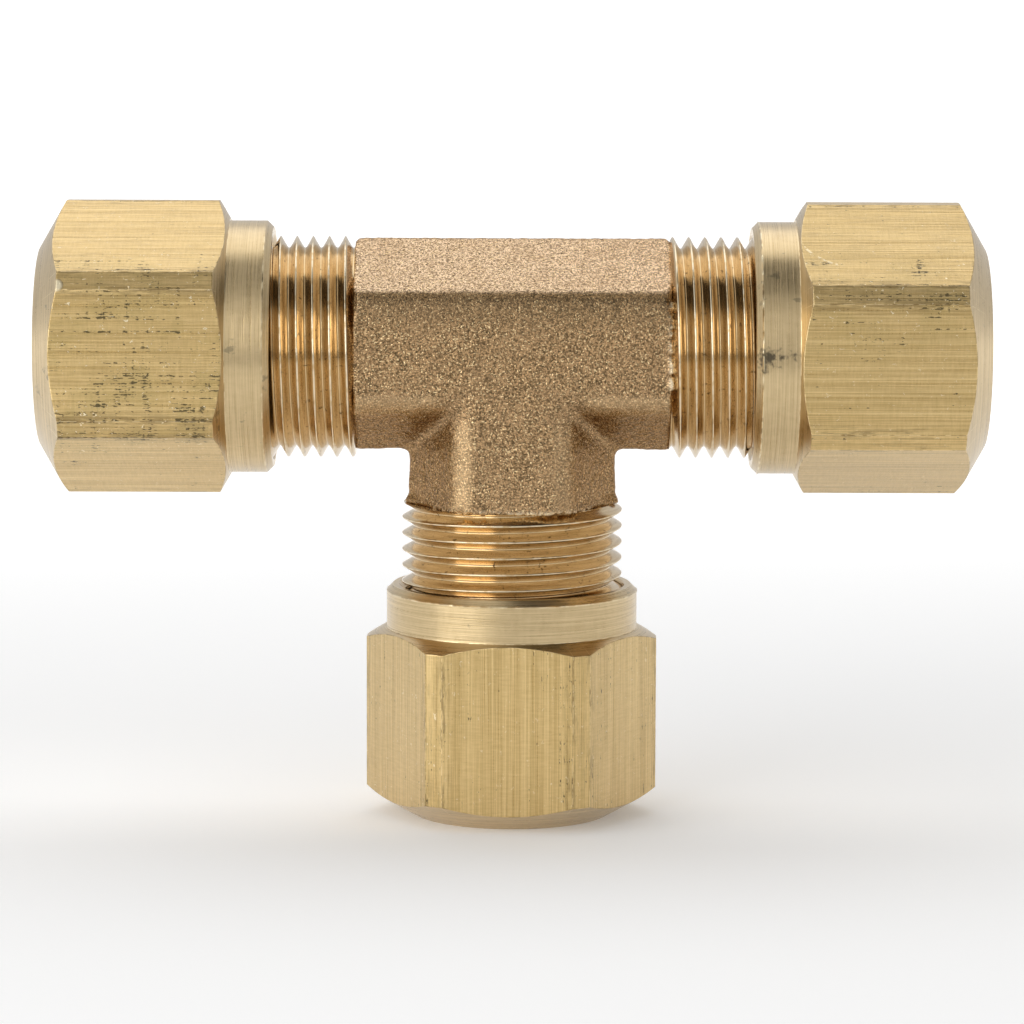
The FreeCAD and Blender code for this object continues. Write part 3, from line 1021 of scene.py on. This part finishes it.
def blasted_brass():
    """Forging skin: grain with painted glints, dark pits, painted highlights along its fillets, a
    top painted lit with painted shade below it, and burrs with a painted highlight.
    """
    g = Graph("blasted_brass")
    grain = g.noise(g.stretched(5.6, 5.6), detail=2.0, rough=0.6, distortion=0.3)
    fine = g.noise(g.stretched(16.0, 16.0), detail=1.0)
    broad = g.noise(g.stretched(0.45, 0.45), detail=2.0)
    height = g.blend([(grain, 1.0), (fine, 0.4)])
    split = g.tree.nodes.new("ShaderNodeSeparateXYZ")
    g.feed(split.inputs[0], g.place.outputs["Vector"])
    across, _depth, up = split.outputs
    # Painted light: the top slope is painted paler and brighter, as if lit from above.
    painted_top_light = g.ease(up, 4.7, 5.1)
    low_color = g.mix(painted_top_light, GRAIN_LOW, TOP_LIT_LOW)
    high_color = g.mix(painted_top_light, GRAIN_HIGH, TOP_LIT_HIGH)
    color = g.mix(g.ease(height, 0.60, 0.78), low_color, high_color)
    # Painted glints: bright specks that stand in for grains catching the light.
    painted_glints = g.ease(g.noise(g.stretched(7.0, 7.0), detail=2.0), 0.60, 0.66)
    color = g.mix(g.math("MULTIPLY", painted_glints, 0.9), color, PAINTED_GLINT)
    pits = g.ease(g.noise(g.stretched(6.4, 6.4), detail=2.0), 0.43, 0.33)
    color = g.mix(g.math("MULTIPLY", pits, 0.9), color, PIT)
    color = g.mix(g.math("MULTIPLY", g.ease(broad, 0.4, 0.7), 0.2), color, BROAD_STAIN)
    # Painted highlight: bright bands along the fillets of the run and the branch, stronger on the
    # left, where the light is.
    out_along = g.math("ABSOLUTE", across)
    from_run_edge = g.math("ABSOLUTE", g.math("ADD", up, 3.9))
    run_edge = g.math("MULTIPLY", g.ease(from_run_edge, 1.1, 0.5), 0.24)
    run_edge = g.math("MULTIPLY", run_edge, g.ease(out_along, 5.0, 6.5))
    from_branch_edge = g.math("ABSOLUTE", g.math("SUBTRACT", out_along, 3.9))
    side = g.math("MULTIPLY_ADD", g.ease(across, 1.0, -1.0), 0.13, 0.13)
    branch_edge = g.math("MULTIPLY", g.ease(from_branch_edge, 1.1, 0.4), side)
    branch_edge = g.math("MULTIPLY", branch_edge, g.ease(up, -4.5, -6.0))
    painted_fillet_highlight = g.math("ADD", run_edge, branch_edge)
    color = g.mix(painted_fillet_highlight, color, FILLET_HIGHLIGHT)
    shade = g.math("SUBTRACT", g.ease(up, 1.0, 4.4), painted_top_light)
    color = g.mix(g.math("MULTIPLY", shade, 0.38), color, SHADE)
    # Burrs: real burrs, painted brighter than their metal as a highlight.
    color = g.mix(g.math("MULTIPLY", g.value("wear"), 0.85), color, BURR_HIGHLIGHT)
    rough = g.math("MULTIPLY_ADD", fine, 0.14, 0.09)
    normal = g.bump(height, 1.0, 0.075)
    g.shader.inputs["Specular Tint"].default_value = BLASTED_TINT
    return g.metal(color, rough, normal, coat=0.3)


# ---------------------------------------------------------------- stage

# The dome's brightness behind the tee: high up, there towards either side, and
# low down.
BACK_LEVEL = 1.55
LEFT_BACK_LEVEL = 0.84
RIGHT_BACK_LEVEL = 0.72
HORIZON_LEVEL = 0.66
# Its brightness on the camera's side: low down, and overhead on the left and
# elsewhere. The overhead part reaches further down towards either side.
FRONT_LOW_LEVEL = 0.70
LEFT_HIGH_LEVEL = 0.80
FRONT_HIGH_LEVEL = 0.05
SIDE_DROP = 0.55

# The floor in metres: half its width, and the depths between which it changes
# in front of the tee and behind it. It is darker in front, and glows behind.
FLOOR_HALF = 8.0
FRONT_FADE = (-0.32, -0.09)
BACK_FADE = (0.03, 0.35)
FRONT_FLOOR_TONE = 0.42
FLOOR_TONE = 0.90
FLOOR_GLOW = 0.15
FAR_FLOOR_GLOW = 0.55

# The lights' common aim and the camera's place, in metres, then its lens in
# millimetres and how far it looks down and is rolled, in degrees.
AIM = (0, 0, 0.03)
CAMERA_PLACE = (0, -0.3709, 0.0728)
CAMERA_LENS = 166.2
CAMERA_DIP = 7.496
CAMERA_ROLL = 0.186


def add_floor():
    """A plain pale floor, far wider than the view."""
    mesh = bpy.data.meshes.new("floor")
    signs = [(-1, -1), (1, -1), (1, 1), (-1, 1)]
    corners = [(FLOOR_HALF * x, FLOOR_HALF * y, 0) for x, y in signs]
    mesh.from_pydata(corners, [], [(0, 1, 2, 3)])
    obj = add_object("floor", mesh)
    g = Graph("floor_white")
    place = g.tree.nodes.new("ShaderNodeNewGeometry")
    split = g.tree.nodes.new("ShaderNodeSeparateXYZ")
    g.feed(split.inputs[0], place.outputs["Position"])
    _across, depth, _up = split.outputs
    tone = ramp(g.tree, depth, *FRONT_FADE, FRONT_FLOOR_TONE, FLOOR_TONE)
    g.feed(g.shader.inputs["Base Color"], tone)
    far_glow = ramp(g.tree, depth, *BACK_FADE, FLOOR_GLOW, FAR_FLOOR_GLOW)
    glow = ramp(g.tree, depth, *FRONT_FADE, 0.0, far_glow)
    g.feed(g.shader.inputs["Emission Strength"], glow)
    g.shader.inputs["Roughness"].default_value = 0.9
    g.shader.inputs["Specular IOR Level"].default_value = 0.0
    g.shader.inputs["Emission Color"].default_value = WHITE
    mesh.materials.append(g.material)


def add_light(name, place, width, height, power):
    """A soft rectangular studio light, with its sizes in metres."""
    data = bpy.data.lights.new(name, "AREA")
    data.shape = "RECTANGLE"
    data.size = width
    data.size_y = height
    data.energy = power
    obj = add_object(name, data)
    obj.location = place
    direction = Vector(AIM) - Vector(place)
    obj.rotation_euler = direction.to_track_quat("-Z", "Y").to_euler()


def add_world():
    """A soft dome: brightest high up behind, dimmer on the camera's side.

    x, y and z are the parts of the direction that is looked in, whose length
    is 1.
    """
    world = bpy.data.worlds.new("studio")
    world.use_nodes = True
    tree = world.node_tree
    coordinate = tree.nodes.new("ShaderNodeTexCoord")
    split = tree.nodes.new("ShaderNodeSeparateXYZ")
    tree.links.new(coordinate.outputs["Generated"], split.inputs[0])
    x, y, z = split.outputs
    right_back = ramp(tree, x, 0.28, 0.80, BACK_LEVEL, RIGHT_BACK_LEVEL)
    lit = ramp(tree, x, -0.90, -0.42, LEFT_BACK_LEVEL, right_back)
    back = ramp(tree, z, 0.54, 0.68, HORIZON_LEVEL, lit)
    high = ramp(tree, x, -0.078, -0.052, LEFT_HIGH_LEVEL, FRONT_HIGH_LEVEL)
    sideways = math_node(tree, "MULTIPLY", x, x)
    steep = math_node(tree, "MULTIPLY_ADD", sideways, SIDE_DROP, z)
    front = ramp(tree, steep, 0.66, 0.92, FRONT_LOW_LEVEL, high)
    level = ramp(tree, y, 0.09, 0.17, front, back)
    background = tree.nodes["Background"]
    background.inputs["Color"].default_value = WHITE
    tree.links.new(level, background.inputs["Strength"])
    bpy.context.scene.world = world


def add_camera():
    """The camera, in front of the tee and a little above it."""
    data = bpy.data.cameras.new("camera")
    data.lens = CAMERA_LENS
    data.sensor_width = 36.0
    data.clip_start = 0.01
    data.clip_end = 50.0
    obj = add_object("camera", data)
    tilt = Matrix.Rotation(math.radians(90.0 - CAMERA_DIP), 4, "X")
    roll = Matrix.Rotation(math.radians(CAMERA_ROLL), 4, "Z")
    obj.matrix_world = Matrix.Translation(CAMERA_PLACE) @ tilt @ roll
    bpy.context.scene.camera = obj


# ---------------------------------------------------------------- build

drawn = drawn_brass()
turned = turned_brass()
thread = cut_thread()
blasted = blasted_brass()

add_forging([blasted])
for leg_name in LEGS:
    add_leg(leg_name, [thread, turned])
    add_nut(leg_name, [drawn, turned, thread])
    add_ring(leg_name + "_ferrule", leg_name + "_sleeve", leg_name + "_sleeve",
             leg_name, SLEEVE, [turned])
    add_ring(leg_name + "_insert", leg_name + "_tube_support", "tee",
             leg_name, SUPPORT, [turned])

add_floor()
add_world()
add_light("left", (-0.50, -0.48, 0.20), width=0.62, height=0.5, power=2.2)
add_light("right", (0.60, -0.45, 0.25), width=0.40, height=0.6, power=0.15)
add_camera()

view = bpy.context.scene.view_settings
view.view_transform = "Standard"
